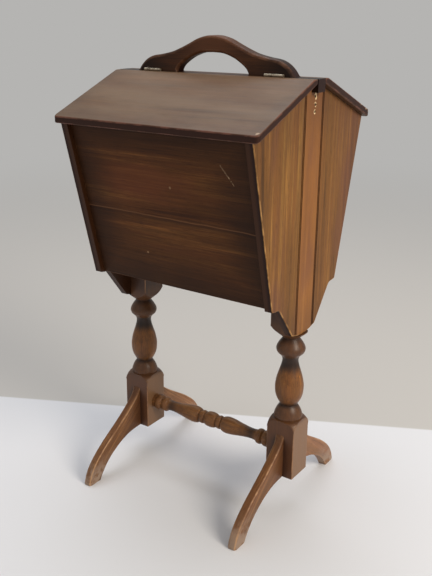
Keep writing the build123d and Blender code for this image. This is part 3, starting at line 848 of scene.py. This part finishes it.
for end, out in (("front", -1), ("rear", 1)):
    leg_wood_painted_light = varnished(f"leg_wood_painted_light_{end}", LEG_CHARTS_LIT_AND_SHADED[end],
                         turn=(math.radians(out * LEG_SLOPE), 0, math.radians(90)),
                         contrast=2.2, worn="b98e66", wear=0.65, tone=shade_leg, shine=0.22)
    for side, sign in (("right", 1), ("left", -1)):
        bm = bmesh.new()
        mark = bm.faces.layers.float.new("arris")
        rings = [leg_ring(bm, under, top, lambda x, y, z: Vector((sign * POST_X + x, out * y, z)) * MM)
                 for under, top in leg_sections()]
        for ring, following in zip(rings, rings[1:]):
            bmesh.ops.bridge_loops(bm, edges=ring + following)
        for ring in (rings[0], rings[-1]):
            bmesh.ops.contextual_create(bm, geom=ring)
        bmesh.ops.recalc_face_normals(bm, faces=bm.faces[:])
        # The rounded arrises face neither straight to the side nor straight up or down.
        for face in bm.faces:
            face[mark] = float(0.30 < abs(face.normal.x) < 0.95)
        finish(bm, f"{end}_{side}_foot", f"leg_{side}_{end}", "stand", leg_wood_painted_light)


# ---- Hinges, screws, nails and dowels ---------------------------------------------------
# Small stamped butt hinges, nickel plated and dulled, with bright steel screws. The nails
# were driven through the end panels into the ridge board and have rusted a little.

def metal(name, shade, stain, rough, spots):
    """A dull metal, stained in small spots and brushed along X."""
    material, tree, shader, place = blank(name)
    tarnish = between(tree, noise(tree, place, (spots, spots, spots), 4.0, 0.65), 0.42, 0.68)
    brushed = noise(tree, place, (200, 4000, 4000), 2.0)
    colour = mix(tree, times(tree, tarnish, 0.7), rgb(shade), rgb(stain))
    worn = plus(tree, times(tree, tarnish, 0.25), rough)
    relief = put(tree, "Bump", {"Height": brushed, "Strength": 0.1, "Distance": 0.1 * MM})
    tree.links.new(colour, shader.inputs["Base Color"])
    tree.links.new(plus(tree, worn, times(tree, brushed, 0.08)), shader.inputs["Roughness"])
    tree.links.new(relief.outputs[0], shader.inputs["Normal"])
    shader.inputs["Metallic"].default_value = 1.0
    return material


hinge_metal = metal("hinge_metal", "beb29e", "4e4336", 0.38, 260)
screw_metal = metal("screw_metal", "a39a8a", "4a3524", 0.34, 500)
dowel_wood = varnished("dowel_wood", ("c2a077", "a98258", "8c683f"), turn=ALONG_Y, rough=0.6, coat=0.0)

for name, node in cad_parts.items():
    if name == "leg_dowels":
        dress(node, dowel_wood)
    elif "screws" in name or name == "ridge_nails":
        dress(node, screw_metal)
    elif name.startswith("hinge_"):
        dress(node, hinge_metal)


# ---- Floor, light and camera ------------------------------------------------------------
# A pale floor that fades into a grey backdrop, under soft light from windows to the right
# and in front, and a camera that stands a little above the lids.

BACKDROP = "b5b4b2"
FLOOR_RADIUS = 14.0
FADE = (0.5, 3.0)
# The pale work top ends a little behind the legs, along a line square to this direction.
BEYOND = (-0.447, 0.894, 0)
WORK_TOP_END = (0.190, 0.196)
BLACK = (0, 0, 0, 1)


def make_floor():
    """The work top and, past its far end, the floor, which fades into the backdrop."""
    bm = bmesh.new()
    bmesh.ops.create_circle(bm, cap_ends=True, segments=96, radius=FLOOR_RADIUS)
    mesh = bpy.data.meshes.new("floor")
    bm.to_mesh(mesh)
    bm.free()
    material, tree, shader, place = blank("floor_paint")
    past_end = between(tree, vectors(tree, "DOT_PRODUCT", place, BEYOND), *WORK_TOP_END)
    paint = mix(tree, past_end, rgb("dfe0e4"), rgb("c3c0bc"))
    far = between(tree, vectors(tree, "LENGTH", place), *FADE)
    tree.links.new(mix(tree, far, paint, BLACK), shader.inputs["Base Color"])
    tree.links.new(mix(tree, far, BLACK, rgb(BACKDROP)), shader.inputs["Emission Color"])
    shader.inputs["Emission Strength"].default_value = 1.0
    shader.inputs["Roughness"].default_value = 0.7
    shader.inputs["Specular IOR Level"].default_value = 0.0
    mesh.materials.append(material)
    placed("floor", mesh)


def soft_light(name, place, aim, size, power, shade):
    """A round window or lamp that shines on a point."""
    lamp = bpy.data.lights.new(name, "AREA")
    lamp.shape = "DISK"
    lamp.size = size
    lamp.energy = power
    lamp.color = rgb(shade)[:3]
    light = placed(name, lamp)
    light.location = place
    light.rotation_euler = (Vector(aim) - Vector(place)).to_track_quat("-Z", "Y").to_euler()


make_floor()
soft_light("window_right", (2.6, -0.4, 1.9), (0, 0, 0.4), 1.4, 66, "fff4e4")
soft_light("ceiling", (-0.6, 0.6, 2.8), (0, 0, 0.5), 2.2, 33, "f4f8ff")
soft_light("front_fill", (-0.4, -2.6, 1.6), (0, 0, 0.4), 1.6, 3, "fffaf2")

world = bpy.data.worlds.new("room")
bpy.context.scene.world = world
world.use_nodes = True
world.node_tree.nodes["Background"].inputs["Color"].default_value = rgb(BACKDROP)
world.node_tree.nodes["Background"].inputs["Strength"].default_value = 1.0

lens = bpy.data.cameras.new("camera")
lens.sensor_width = 36.0
lens.lens = 50.0
lens.shift_x = 0.057
lens.shift_y = -0.010
camera = placed("camera", lens)
swing = Matrix.Rotation(math.radians(36.32), 4, "Z")
tilt = Matrix.Rotation(math.radians(71.10), 4, "X")
roll = Matrix.Rotation(math.radians(-0.22), 4, "Z")
camera.matrix_world = Matrix.Translation((0.6265, -0.9271, 0.7034)) @ swing @ tilt @ roll
bpy.context.scene.camera = camera
bpy.context.scene.view_settings.view_transform = "Standard"
